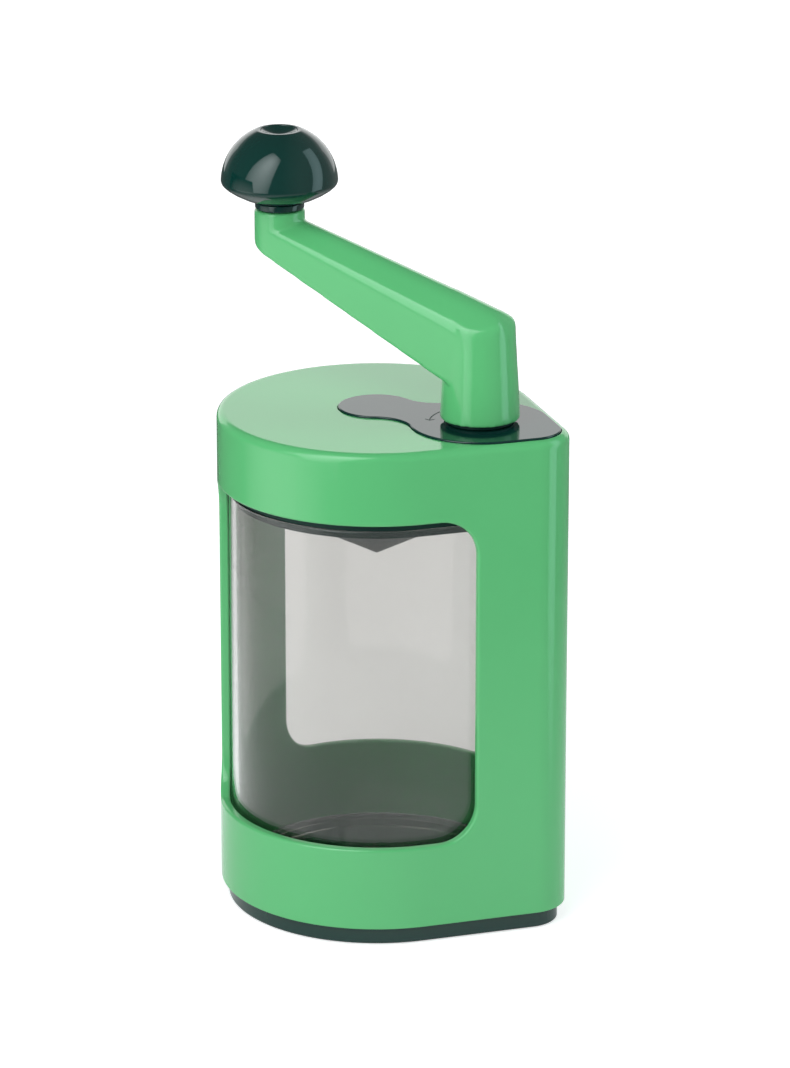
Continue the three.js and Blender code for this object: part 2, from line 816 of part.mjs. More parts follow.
// The crank's arm: a tapered hub, a sloping arm that tapers to the knob and a short post
function addCrankArm() {
  const points = [];
  for (const [centre, radius] of [[crankX, hubTopRadius], [knobX, postRadius]]) {
    for (let i = 0; i < roundSteps; i += 1) {
      const angle = 2 * Math.PI * i / roundSteps;
      for (const [inset, level] of topEdge(0, 0, crankEdgeRadius)) {
        const x = centre + (radius - inset) * Math.cos(angle);
        const y = (radius - inset) * Math.sin(angle);
        points.push(new THREE.Vector3(x, y, armTopAt(x) + level));
      }
      const x = centre + radius * Math.cos(angle);
      points.push(new THREE.Vector3(x, radius * Math.sin(angle), armBottomAt(x)));
    }
  }
  const arm = solid(new ConvexGeometry(points));
  const hub = turned([
    [0, hubBottom],
    [hubFootRadius, hubBottom],
    [hubTopRadius, hubTop - armRoot / 2],
    [0, hubTop - armRoot / 2],
  ], crankX);
  const post = rod(postRadius, armTopAt(knobX) - armTipDepth / 2, postTop, knobX);
  const socket = squareBar(
    crankDriveSide + 2 * seatGap,
    hubBottom - overrun,
    hubBottom + crankSocketDepth,
    crankX,
  );
  const axleHole = rod(
    knobAxleRadius + seatGap,
    postTop - knobAxleSocket,
    postTop + overrun,
    knobX, 0, pinSteps,
  );
  addPiece('crank_arm', cut(join(arm, hub, post), socket, axleHole), lightGreen);
}

// The crank's shaft, gear, gear screw and the collar under its hub
function addCrankDrive() {
  const shaft = cut(
    join(
      rod(crankShaftRadius, gearTop + seatGap, hubBottom - seatGap, crankX),
      squareBar(crankDriveSide, gearBottom, hubBottom + crankSocketDepth - seatGap, crankX),
    ),
    rod(
      driveScrewRadius + seatGap,
      gearBottom - overrun,
      gearBottom + driveScrewLength,
      crankX, 0, pinSteps,
    ),
  );
  addPiece('crank_shaft', shaft, steel);
  const gear = cut(
    raised(gearShape(crankGearTeeth, 180), gearBottom, gearTop).translate([crankX, 0, 0]),
    squareBar(crankDriveSide + 2 * seatGap, gearBottom - overrun, gearTop + overrun, crankX),
  );
  addPiece('crank_gear', gear, white);
  const under = gearBottom - seatGap;
  addPiece('crank_gear_screw', turned([
    [0, under - driveScrewHeadHeight],
    [crankScrewHeadRadius, under - driveScrewHeadHeight],
    [crankScrewHeadRadius, under],
    [driveScrewRadius, under],
    [driveScrewRadius, gearBottom + driveScrewLength - seatGap],
    [0, gearBottom + driveScrewLength - seatGap],
  ], crankX), steel);
  const collarTop = hubBottom - seatGap;
  const collar = ring(
    crankShaftRadius + seatGap,
    collarRadius,
    collarTop - collarThickness,
    collarTop,
    crankX,
  );
  addPiece('hub_collar', collar, darkGreen);
}

// The knob with its cap, the washer under it and the axle that it turns on
function addKnob() {
  const washerBottom = postTop + seatGap;
  const washerTop = washerBottom + knobWasherThickness;
  const knobBottom = washerTop + seatGap;
  const rimHeight = knobBottom + knobSkirtDepth;
  const lipHeight = rimHeight + Math.sqrt(knobRadius ** 2 - knobLipRadius ** 2);
  const bore = knobAxleRadius + turnGap;
  const pocket = knobCapRadius + seatGap;
  const pocketFloor = lipHeight - knobPocketDepth;
  const profile = [[bore, knobBottom], [knobFootRadius, knobBottom]];
  profile.push([knobRadius - knobRimRadius, rimHeight - knobRimRadius]);
  for (let i = 0; i <= pinSteps / 2; i += 1) {
    const lipAngle = Math.acos(knobLipRadius / knobRadius);
    const angle = lipAngle * i / (pinSteps / 2);
    profile.push([knobRadius * Math.cos(angle), rimHeight + knobRadius * Math.sin(angle)]);
  }
  profile.push([pocket, lipHeight], [pocket, pocketFloor], [bore, pocketFloor]);
  addPiece('knob', turned(profile, knobX), darkGreen);

  const headBottom = pocketFloor + turnGap;
  const headTop = headBottom + knobAxleHeadHeight;
  const capProfile = [[0, headTop + turnGap], [knobCapRadius, headTop + turnGap]];
  for (let i = 0; i <= edgeSteps; i += 1) {
    const share = 1 - i / edgeSteps;
    capProfile.push([knobCapRadius * share, lipHeight - knobCapDish * (1 - share * share)]);
  }
  addPiece('knob_cap', turned(capProfile, knobX), darkGreen);

  addPiece('knob_axle', turned([
    [0, postTop - knobAxleSocket + seatGap],
    [knobAxleRadius, postTop - knobAxleSocket + seatGap],
    [knobAxleRadius, headBottom],
    [knobAxleHeadRadius, headBottom],
    [knobAxleHeadRadius, headTop],
    [0, headTop],
  ], knobX, 0, pinSteps), steel);
  const washer = ring(knobAxleRadius + seatGap, knobWasherRadius, washerBottom, washerTop, knobX);
  addPiece('knob_washer', washer, darkGreen);
}

addFootPad();
addBaseTray();
addContainer();
addBladeInsert();
addBlade();
addHousing();
addCover();
addCrankBush();
addGearboxPlate();
addSpindle();
addFoodHolder();
addCrankArm();
addCrankDrive();
addKnob();

export default group;
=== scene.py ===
"""Looks of a hand-cranked rotary slicer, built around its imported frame.

Metres, +Z up. The round part of the body stands on the Z axis, and its square corner, where the
crank turns, points along +X.
"""

import math

import bmesh
import bpy
from mathutils import Euler, Matrix, Vector


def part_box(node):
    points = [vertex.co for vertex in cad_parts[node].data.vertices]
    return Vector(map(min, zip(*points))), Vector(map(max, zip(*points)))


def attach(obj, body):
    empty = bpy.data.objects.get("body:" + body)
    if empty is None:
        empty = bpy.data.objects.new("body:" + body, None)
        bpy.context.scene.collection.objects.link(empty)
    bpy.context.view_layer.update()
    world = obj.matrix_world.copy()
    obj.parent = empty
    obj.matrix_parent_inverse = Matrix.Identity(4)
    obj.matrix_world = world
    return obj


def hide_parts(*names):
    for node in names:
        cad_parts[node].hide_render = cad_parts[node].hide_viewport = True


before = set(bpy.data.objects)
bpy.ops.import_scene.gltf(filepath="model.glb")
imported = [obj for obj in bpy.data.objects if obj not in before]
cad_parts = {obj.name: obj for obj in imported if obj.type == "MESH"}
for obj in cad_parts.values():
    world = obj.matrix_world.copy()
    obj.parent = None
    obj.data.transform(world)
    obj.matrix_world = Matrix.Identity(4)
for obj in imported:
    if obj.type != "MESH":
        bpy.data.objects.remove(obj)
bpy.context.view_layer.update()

MM = 0.001
LEG = math.sqrt(0.5)

# Plan of the body
ROUND = 50 * MM
CORNER = 13 * MM
CORNER_X = (ROUND - CORNER) * math.sqrt(2)
CRANK_X = CORNER_X - 16.3 * MM
CRANK_REACH = 70 * MM
KNOB_X = CRANK_X - CRANK_REACH
WALL = 3 * MM


# ---- Modelling by hand ----

def leave_edit():
    if bpy.context.object and bpy.context.object.mode == "EDIT":
        bpy.ops.object.mode_set(mode="OBJECT")
    bpy.ops.object.select_all(action="DESELECT")


def take(piece):
    """Makes a piece the only one in hand."""
    leave_edit()
    piece.select_set(True)
    bpy.context.view_layer.objects.active = piece


def edit(piece):
    take(piece)
    bpy.ops.object.mode_set(mode="EDIT")
    bpy.ops.mesh.select_all(action="SELECT")


def settle(piece):
    """Puts a piece's place, turn and scale into its mesh."""
    take(piece)
    bpy.ops.object.transform_apply(location=True, rotation=True, scale=True)


def pick(kind, test):
    """Selects the faces, edges or corners of the piece in edit mode that pass a test."""
    bpy.ops.mesh.select_mode(type=kind)
    bpy.ops.mesh.select_all(action="DESELECT")
    data = bpy.context.object.data
    shape = bmesh.from_edit_mesh(data)
    for element in {"FACE": shape.faces, "EDGE": shape.edges, "VERT": shape.verts}[kind]:
        if test(element):
            element.select_set(True)
    bmesh.update_edit_mesh(data)


def near(a, b, slack=0.02 * MM):
    return abs(a - b) < slack


def level(edge, height):
    return all(near(corner.co.z, height) for corner in edge.verts)


def bent(edge, degrees=30):
    return edge.calc_face_angle(0) > math.radians(degrees)


def round_edges(test, radius, steps):
    """Rounds the edges that pass a test."""
    pick("EDGE", test)
    bpy.ops.mesh.bevel(offset=radius, segments=steps, affect="EDGES", clamp_overlap=True)


def face_up(height):
    return lambda face: face.normal.z > 0.9 and near(face.calc_center_median().z, height)


def face_down(height):
    return lambda face: face.normal.z < -0.9 and near(face.calc_center_median().z, height)


def lift(height):
    bpy.ops.mesh.extrude_region_move(TRANSFORM_OT_translate={"value": (0, 0, height)})


def dot(name, place):
    """A new piece that is a single point, left in edit mode to be drawn out."""
    leave_edit()
    bpy.ops.mesh.primitive_plane_add(size=MM)
    piece = bpy.context.object
    piece.name = piece.data.name = name
    bpy.ops.object.mode_set(mode="EDIT")
    bpy.ops.mesh.select_mode(type="VERT")
    bpy.ops.mesh.select_all(action="SELECT")
    bpy.ops.mesh.merge(type="CENTER")
    bpy.ops.transform.translate(value=place)
    return piece


def draw(name, start, strokes, height, closed=True):
    """Draws a flat line with a pen: arcs are (x, y, degrees, steps) and straight runs (x, y)."""
    pen = Vector((start[0], start[1], 0))
    piece = dot(name, (pen.x, pen.y, height))
    for stroke in strokes:
        if len(stroke) == 2:
            step = Vector((stroke[0], stroke[1], 0)) - pen
            bpy.ops.mesh.extrude_region_move(TRANSFORM_OT_translate={"value": step})
            pen += step
        else:
            x, y, degrees, steps = stroke
            turn = math.radians(degrees)
            bpy.ops.mesh.spin(steps=steps, angle=-turn, center=(x, y, height), axis=(0, 0, 1))
            middle = Vector((x, y, 0))
            pen = middle + Matrix.Rotation(turn, 3, "Z") @ (pen - middle)
    bpy.ops.mesh.select_all(action="SELECT")
    if closed:
        bpy.ops.mesh.remove_doubles(threshold=0.005 * MM)
    return piece


def block(name, start, strokes, bottom, top):
    """A flat outline raised from one height to another, left in edit mode."""
    piece = draw(name, start, strokes, bottom)
    bpy.ops.mesh.edge_face_add()
    lift(top - bottom)
    bpy.ops.mesh.select_all(action="SELECT")
    bpy.ops.mesh.normals_make_consistent(inside=False)
    return piece


def body_outline(inset, round_steps=120, corner_steps=20):
    """The body's outline drawn in by an inset."""
    big, small = ROUND - inset, CORNER - inset
    start = (big * LEG, big * LEG)
    strokes = [
        (0, 0, 270, round_steps),
        (CORNER_X + small * LEG, -small * LEG),
        (CORNER_X, 0, 90, corner_steps),
        start,
    ]
    return start, strokes


def body_block(name, inset, bottom, top):
    return block(name, *body_outline(inset), bottom, top)


def inset_at(place):
    """How far inside the body's outline a place in plan lies."""
    along = (place.x - abs(place.y)) * LEG
    if along < 0 and place.x < abs(place.y):
        return ROUND - math.hypot(place.x, place.y)
    if along > ROUND - CORNER:
        return CORNER - math.hypot(place.x - CORNER_X, place.y)
    return ROUND - (place.x + abs(place.y)) * LEG


def spun(name, profile, x=0.0, y=0.0, steps=96):
    """A round piece from the (radius, height) points of its section, left in edit mode."""
    piece = dot(name, (x + profile[0][0], y, profile[0][1]))
    for (radius, height), (next_radius, next_height) in zip(profile, profile[1:]):
        step = (next_radius - radius, 0, next_height - height)
        bpy.ops.mesh.extrude_region_move(TRANSFORM_OT_translate={"value": step})
    bpy.ops.mesh.select_all(action="SELECT")
    bpy.ops.mesh.spin(steps=steps, angle=2 * math.pi, center=(x, y, 0), axis=(0, 0, 1))
    bpy.ops.mesh.select_all(action="SELECT")
    bpy.ops.mesh.remove_doubles(threshold=0.002 * MM)
    bpy.ops.mesh.normals_make_consistent(inside=False)
    return piece


def ring_profile(inner, outer, bottom, top):
    return [(inner, bottom), (outer, bottom), (outer, top), (inner, top), (inner, bottom)]


def arc(x, z, radius, first, last, steps):
    """Points on an arc in a section, between two angles in degrees."""
    angles = [math.radians(first + (last - first) * i / steps) for i in range(steps + 1)]
    return [(x + radius * math.cos(a), z + radius * math.sin(a)) for a in angles]


def rod(name, radius, bottom, top, x=0.0, y=0.0, steps=64):
    leave_edit()
    bpy.ops.mesh.primitive_cylinder_add(
        vertices=steps, radius=radius, depth=top - bottom, location=(x, y, (top + bottom) / 2)
    )
    piece = bpy.context.object
    piece.name = piece.data.name = name
    settle(piece)
    return piece


def carve(piece, tool, operation="DIFFERENCE"):
    """Cuts a piece with a tool, or joins the two, and puts the tool away."""
    take(piece)
    cut = piece.modifiers.new("cut", "BOOLEAN")
    cut.operation = operation
    cut.object = tool
    cut.solver = "EXACT"
    bpy.ops.object.modifier_apply(modifier="cut")
    bpy.data.objects.remove(tool)


def even_shading(piece, degrees=35):
    """Smooth faces with crisp edges, and flat faces that stay flat beside rounded edges."""
    take(piece)
    bpy.ops.object.shade_smooth_by_angle(angle=math.radians(degrees))
    even = piece.modifiers.new("even", "WEIGHTED_NORMAL")
    even.keep_sharp = True
    even.weight = 70
    bpy.ops.object.modifier_apply(modifier="even")


def hand_over(piece, material, slot, body, *nodes, degrees=35):
    """Finishes a piece: its place, shading, material, body and the CAD nodes it stands for."""
    settle(piece)
    even_shading(piece, degrees)
    piece.data.materials.clear()
    piece.data.materials.append(material)
    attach(piece, body)
    if nodes:
        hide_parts(*nodes)
    return piece


# ---- Materials ----

def linear(red, green, blue):
    """A colour written in 0 to 255 as seen, turned into light."""
    def one(value):
        value /= 255
        return value / 12.92 if value <= 0.04045 else ((value + 0.055) / 1.055) ** 2.4
    return (one(red), one(green), one(blue), 1)


class Wire:
    """A shader socket that adds its own Math nodes when it is used in sums."""

    def __init__(self, recipe, socket):
        self.recipe = recipe
        self.socket = socket

    def maths(self, operation, other, swapped=False):
        first, second = (other, self) if swapped else (self, other)
        return self.recipe.add("Math", {"operation": operation}, {0: first, 1: second})

    def __add__(self, other):
        return self.maths("ADD", other)

    def __sub__(self, other):
        return self.maths("SUBTRACT", other)

    def __mul__(self, other):
        return self.maths("MULTIPLY", other)

    def __rsub__(self, other):
        return self.maths("SUBTRACT", other, swapped=True)

    __radd__ = __add__
    __rmul__ = __mul__


class Recipe:
    """The nodes of one material, or of the world."""

    def __init__(self, owner, shader="BsdfPrincipled", end="OutputMaterial"):
        owner.use_nodes = True
        self.owner = owner
        self.tree = owner.node_tree
        self.tree.nodes.clear()
        self.shader = self.tree.nodes.new("ShaderNode" + shader)
        self.end = self.tree.nodes.new("ShaderNode" + end)
        self.tree.links.new(self.shader.outputs[0], self.end.inputs["Surface"])

    def feed(self, socket, value):
        if isinstance(value, Wire):
            self.tree.links.new(value.socket, socket)
        else:
            socket.default_value = value

    def add(self, kind, settings, sockets, out=0):
        """Adds a node: its settings first, then the values or links of its sockets."""
        node = self.tree.nodes.new("ShaderNode" + kind)
        for name, value in settings.items():
            if name == "stops":
                ramp = node.color_ramp
                for stop, (place, shade) in zip(ramp.elements, value):
                    stop.position = place
                    stop.color = (shade, shade, shade, 1)
            else:
                setattr(node, name, value)
        for name, value in sockets.items():
            self.feed(node.inputs[name], value)
        return Wire(self, node.outputs[out])

    def surface(self, **sockets):
        for name, value in sockets.items():
            self.feed(self.shader.inputs[name.replace("_", " ")], value)

    def noise(self, place, scale, detail=2.0, roughness=0.5):
        sockets = {"Vector": place, "Scale": scale, "Detail": detail, "Roughness": roughness}
        return self.add("TexNoise", {}, sockets, "Fac")

    def place(self, scale=(1, 1, 1)):
        """The place on the piece, stretched where a pattern runs one way."""
        here = self.add("TexCoord", {}, {}, "Object")
        return self.add("Mapping", {}, {"Vector": here, "Scale": scale}, "Vector")

    def blend(self, factor, first, second):
        """A mix of two colours: on this node they are the sockets 6 and 7, and the result is 2."""
        return self.add("Mix", {"data_type": "RGBA"}, {0: factor, 6: first, 7: second}, 2)

    def relief(self, height, strength, depth):
        sockets = {"Height": height, "Strength": strength, "Distance": depth}
        return self.add("Bump", {}, sockets, "Normal")

    def ray(self, kind):
        return self.add("LightPath", {}, {}, kind)

    def ramp(self, value, first, last, lowest=0.0):
        """Runs from lowest to 1 as a value goes from first to last, and stays level past them."""
        sockets = {"Value": value, "From Min": first, "From Max": last, "To Min": lowest}
        return self.add("MapRange", {}, sockets)

    def length(self, vector):
        return self.add("VectorMath", {"operation": "LENGTH"}, {0: vector}, "Value")

    def along(self, vector, way):
        """How far a vector reaches along a way."""
        return self.add("VectorMath", {"operation": "DOT_PRODUCT"}, {0: vector, 1: way}, "Value")

    def marks(self, noise, first, last):
        """Keeps only the peaks of a noise."""
        return self.add("ValToRGB", {"stops": [(first, 0), (last, 1)]}, {"Fac": noise})


def moulded_plastic(name, colour, deeper, gloss, index=1.5):
    """Moulded plastic: a slow drift of colour, fine scuffs and a slight peel."""
    recipe = Recipe(bpy.data.materials.new(name))
    here = recipe.place()
    drift = recipe.noise(here, 22, 3)
    scuffs = recipe.noise(recipe.place((1, 1, 0.12)), 900, 4, 0.6)
    smudges = recipe.noise(here, 60, 3, 0.6)
    worn = recipe.marks(scuffs, 0.62, 0.75)
    recipe.surface(
        Base_Color=recipe.blend(drift, colour, deeper),
        Roughness=gloss + smudges * 0.05 + worn * 0.06,
        IOR=index,
        Normal=recipe.relief(recipe.noise(here, 340, 2), 0.05, 0.1 * MM),
    )
    return recipe.owner


def clear_plastic():
    """Clear, faintly grey plastic with polished walls and fine rub marks."""
    recipe = Recipe(bpy.data.materials.new("clear container plastic"))
    here = recipe.place()
    rubs = recipe.noise(recipe.place((1, 1, 0.05)), 1400, 3, 0.6)
    worn = recipe.marks(rubs, 0.6, 0.8)
    cloud = recipe.noise(here, 30, 2)
    recipe.surface(
        Base_Color=recipe.blend(cloud, linear(222, 220, 218), linear(217, 215, 213)),
        Roughness=0.02 + worn * 0.06 + cloud * 0.015,
        IOR=1.49,
        Normal=recipe.relief(cloud, 0.02, 0.2 * MM),
        Transmission_Weight=1.0,
    )
    # Light reaches what is inside straight through the walls
    passing = recipe.ray("Is Shadow Ray").maths("MAXIMUM", recipe.ray("Is Diffuse Ray"))
    wall = Wire(recipe, recipe.shader.outputs[0])
    straight = recipe.add("BsdfTransparent", {}, {"Color": (0.85, 0.85, 0.84, 1)}, "BSDF")
    mixed = recipe.add("MixShader", {}, {0: passing * 0.9, 1: wall, 2: straight})
    recipe.feed(recipe.end.inputs["Surface"], mixed)
    return recipe.owner


def brushed_steel(name, stretch):
    """Stainless steel with a fine grain along one way."""
    recipe = Recipe(bpy.data.materials.new(name))
    grain = recipe.noise(recipe.place(stretch), 900, 4, 0.6)
    spots = recipe.noise(recipe.place(), 120, 3)
    recipe.surface(
        Base_Color=recipe.blend(spots, linear(202, 204, 206), linear(182, 185, 189)),
        Metallic=1.0,
        Roughness=0.16 + grain * 0.16,
        Normal=recipe.relief(grain, 0.12, 0.02 * MM),
    )
    return recipe.owner


def white_acetal():
    """Natural white bearing plastic, satin and a little waxy."""
    recipe = Recipe(bpy.data.materials.new("white acetal"))
    here = recipe.place()
    cloud = recipe.noise(here, 70, 3)
    grain = recipe.noise(here, 1100, 3)
    recipe.surface(
        Base_Color=recipe.blend(cloud, linear(240, 239, 232), linear(230, 229, 221)),
        Roughness=0.34 + grain * 0.12,
        Normal=recipe.relief(grain, 0.08, 0.03 * MM),
    )
    return recipe.owner


def pad_rubber():
    """Matt black-grey rubber with a fine grip grain."""
    recipe = Recipe(bpy.data.materials.new("pad rubber"))
    here = recipe.place()
    grain = recipe.noise(here, 1500, 2)
    cloud = recipe.noise(here, 90, 3)
    recipe.surface(
        Base_Color=recipe.blend(cloud, linear(44, 48, 50), linear(34, 37, 39)),
        Roughness=0.72 + cloud * 0.14,
        Normal=recipe.relief(grain, 0.5, 0.08 * MM),
    )
    return recipe.owner


light_green = moulded_plastic(
    "light green plastic", linear(98, 190, 122), linear(92, 184, 116), gloss=0.06
)
dark_green = moulded_plastic(
    "dark green plastic", linear(13, 54, 48), linear(10, 47, 43), gloss=0.04
)
satin_green = moulded_plastic(
    "satin dark green plastic", linear(13, 50, 44), linear(10, 44, 40), gloss=0.42, index=1.3
)
container_plastic = clear_plastic()
steel_blade = brushed_steel("brushed blade steel", (1, 0.04, 0.04))
steel_turned = brushed_steel("turned steel", (1, 1, 0.1))
acetal = white_acetal()
rubber = pad_rubber()


# ---- Base ----

def make_foot_pad():
    low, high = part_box("foot_pad")
    pad = body_block("foot_pad_rubber", 9 * MM, low.z, high.z)
    round_edges(bent, 0.25 * MM, 2)
    hand_over(pad, rubber, "pad_rubber", "base", "foot_pad")


def make_base_tray():
    """The dark tray, with a seat for the container on top and a recess for the pad below."""
    low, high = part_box("base_tray")
    foot = low.z - 0.35 * MM
    tray = body_block("tray", 2.3 * MM, foot, high.z)
    pick("FACE", face_up(high.z))
    bpy.ops.mesh.inset(thickness=3.8 * MM)
    lift(-2.8 * MM)
    pick("FACE", face_down(foot))
    bpy.ops.mesh.inset(thickness=6.4 * MM)
    lift(1.15 * MM)
    outer = lambda edge: inset_at(edge.verts[0].co) < 2.5 * MM and bent(edge)
    round_edges(lambda edge: level(edge, foot) and outer(edge), 0.7 * MM, 4)
    round_edges(lambda edge: level(edge, high.z) and outer(edge), 0.4 * MM, 2)
    hand_over(tray, dark_green, "dark_green_plastic", "base", "base_tray")


def make_container():
    """The clear container: thin walls, a floor, and a ring below it that stands in the tray."""
    low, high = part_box("container")
    wall = 2 * MM
    floor = 5.9 * MM
    jar = body_block("clear_container", 3.6 * MM, floor, high.z)
    pick("FACE", face_up(high.z))
    bpy.ops.mesh.inset(thickness=wall)
    lift(floor + wall - high.z)
    pick("FACE", face_down(floor))
    bpy.ops.mesh.inset(thickness=2.8 * MM)
    lift(low.z - floor)
    bpy.ops.mesh.inset(thickness=wall)
    lift(floor - low.z)
    round_edges(lambda edge: level(edge, floor + wall) and bent(edge), 1.4 * MM, 4)
    round_edges(lambda edge: level(edge, high.z) and bent(edge), 0.6 * MM, 3)
    round_edges(lambda edge: level(edge, low.z) and bent(edge), 0.5 * MM, 2)
    outer = lambda edge: inset_at(edge.verts[0].co) < 3.8 * MM
    round_edges(lambda edge: level(edge, floor) and bent(edge) and outer(edge), 0.7 * MM, 3)
    hand_over(jar, container_plastic, "clear_plastic", "base", "container")


# ---- Blade insert ----

CONE_RADIUS = 42 * MM
CONE_DEPTH = 22.5 * MM
CONE_WALL = 2.6 * MM
CONE_SLOPE = CONE_DEPTH / CONE_RADIUS
CONE_ANGLE = math.atan(CONE_SLOPE)
BLADE_START = 7 * MM
BLADE_END = 10.6 * MM
BLADE_LENGTH = CONE_RADIUS / math.cos(CONE_ANGLE) - BLADE_START - BLADE_END


def blade_frame(tip):
    """Where the blade sits on the cone: X up the cone along the blade, Z square to the cone."""
    middle = (BLADE_START + BLADE_LENGTH / 2) * math.cos(CONE_ANGLE)
    height = tip + CONE_WALL / math.cos(CONE_ANGLE) + CONE_SLOPE * middle
    tilt = Euler((0, -CONE_ANGLE, math.pi / 2)).to_matrix().to_4x4()
    return Matrix.Translation((0, middle, height)) @ tilt


def seat_tool(seat, low, high):
    """A box between two corners in the blade's frame, to cut with."""
    leave_edit()
    middle = [(a + b) / 2 for a, b in zip(low, high)]
    size = [b - a for a, b in zip(low, high)]
    bpy.ops.mesh.primitive_cube_add(size=1)
    tool = bpy.context.object
    tool.matrix_world = seat @ Matrix.Translation(middle) @ Matrix.Diagonal((*size, 1))
    settle(tool)
    return tool


def make_blade_insert():
    """The rim plate with its skirt, the cone below it, and the blade's recess and throat."""
    low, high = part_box("blade_insert")
    flange = high.z - 3 * MM
    insert = body_block("insert", 3.6 * MM, flange, high.z)
    pick("FACE", face_down(flange))
    bpy.ops.mesh.inset(thickness=2.3 * MM)
    bpy.ops.mesh.inset(thickness=1.5 * MM)

    def skirt(face):
        inside = inset_at(face.calc_center_median())
        return face_down(flange)(face) and 5.95 * MM < inside < 7.35 * MM

    pick("FACE", skirt)
    lift(-3 * MM)
    lid = high.z - MM
    section = [(0, low.z), (CONE_RADIUS, flange), (CONE_RADIUS, lid), (0, lid)]
    carve(insert, spun("cone", section, steps=120), "UNION")
    rise = CONE_WALL / math.cos(CONE_ANGLE)
    over = high.z + MM
    mouth = (over - low.z - rise) / CONE_SLOPE
    hollow = spun("hollow", [(0, low.z + rise), (mouth, over), (0, over)], steps=120)
    carve(insert, hollow)
    edit(insert)
    round_edges(lambda edge: level(edge, high.z) and bent(edge, 20), 0.5 * MM, 3)
    half = BLADE_LENGTH / 2
    seat = blade_frame(low.z)
    gap = 0.3 * MM
    recess = ((-half - gap, -10 * MM - gap, -gap), (half + gap, 0, CONE_WALL))
    throat = ((-half + 2 * MM, -MM, -CONE_WALL - MM), (half - 2 * MM, 6 * MM, CONE_WALL))
    carve(insert, seat_tool(seat, *recess))
    carve(insert, seat_tool(seat, *throat))
    hand_over(insert, satin_green, "dark_green_plastic", "base", "blade_insert")


# ---- Sleeve ----

def wall_path(steps=60, corner_steps=24):
    """The line that the sleeve's wall follows, from its back seam round and past it by one step."""
    over = 135 / steps
    turn = math.radians(180 - over)
    start = (ROUND * math.cos(turn), ROUND * math.sin(turn))
    strokes = [
        (0, 0, 135 + over, steps + 1),
        (CORNER_X + CORNER * LEG, -CORNER * LEG),
        (CORNER_X, 0, 90, corner_steps),
        (ROUND * LEG, ROUND * LEG),
        (0, 0, 135 + over, steps + 1),
    ]
    draw("wall_path", start, strokes, 0, closed=False)
    bpy.ops.object.mode_set(mode="OBJECT")
    bpy.ops.object.convert(target="CURVE")
    path = bpy.context.object
    points = [point.co.xyz for point in path.data.splines[0].points]
    runs = [0.0]
    for before, after in zip(points, points[1:]):
        runs.append(runs[-1] + (after - before).length)
    return path, runs


def window_tool(first, last, bottom, top):
    """A box with four rounded corners that cuts one window out of the unrolled wall."""
    leave_edit()
    bpy.ops.mesh.primitive_cube_add(size=1)
    tool = bpy.context.object
    tool.location = ((first + last) / 2, WALL / 2, (bottom + top) / 2)
    tool.scale = (last - first, 4 * WALL, top - bottom)
    settle(tool)
    edit(tool)

    def along_y(edge):
        one, other = (corner.co for corner in edge.verts)
        return near(one.x, other.x) and near(one.z, other.z)

    round_edges(along_y, 12 * MM, 12)
    return tool


def cover_outline(grow):
    """The cover's outline: a lobe over the spindle, a waist, and a lobe into the corner."""
    rim = 2.6 * MM
    small = 12 * MM + grow
    waist = 12 * MM - grow
    large = ROUND - CRANK_X * LEG - rim + grow
    corner = CORNER - rim + grow
    near_reach, far_reach = small + waist, large + waist
    waist_x = (CRANK_X ** 2 + near_reach ** 2 - far_reach ** 2) / (2 * CRANK_X)
    waist_y = math.sqrt(near_reach ** 2 - waist_x ** 2)
    touch = math.degrees(math.atan2(waist_y, waist_x))
    far = math.degrees(math.atan2(waist_y, waist_x - CRANK_X))
    start = (small * math.cos(math.radians(touch)), small * math.sin(math.radians(touch)))
    strokes = [
        (0, 0, 360 - 2 * touch, 64),
        (waist_x, -waist_y, touch - far, 24),
        (CRANK_X, 0, far - 45, 32),
        (CORNER_X + corner * LEG, -corner * LEG),
        (CORNER_X, 0, 90, 24),
        (CRANK_X + large * LEG, large * LEG),
        (CRANK_X, 0, far - 45, 32),
        (waist_x, waist_y, touch - far, 24),
    ]
    return start, strokes


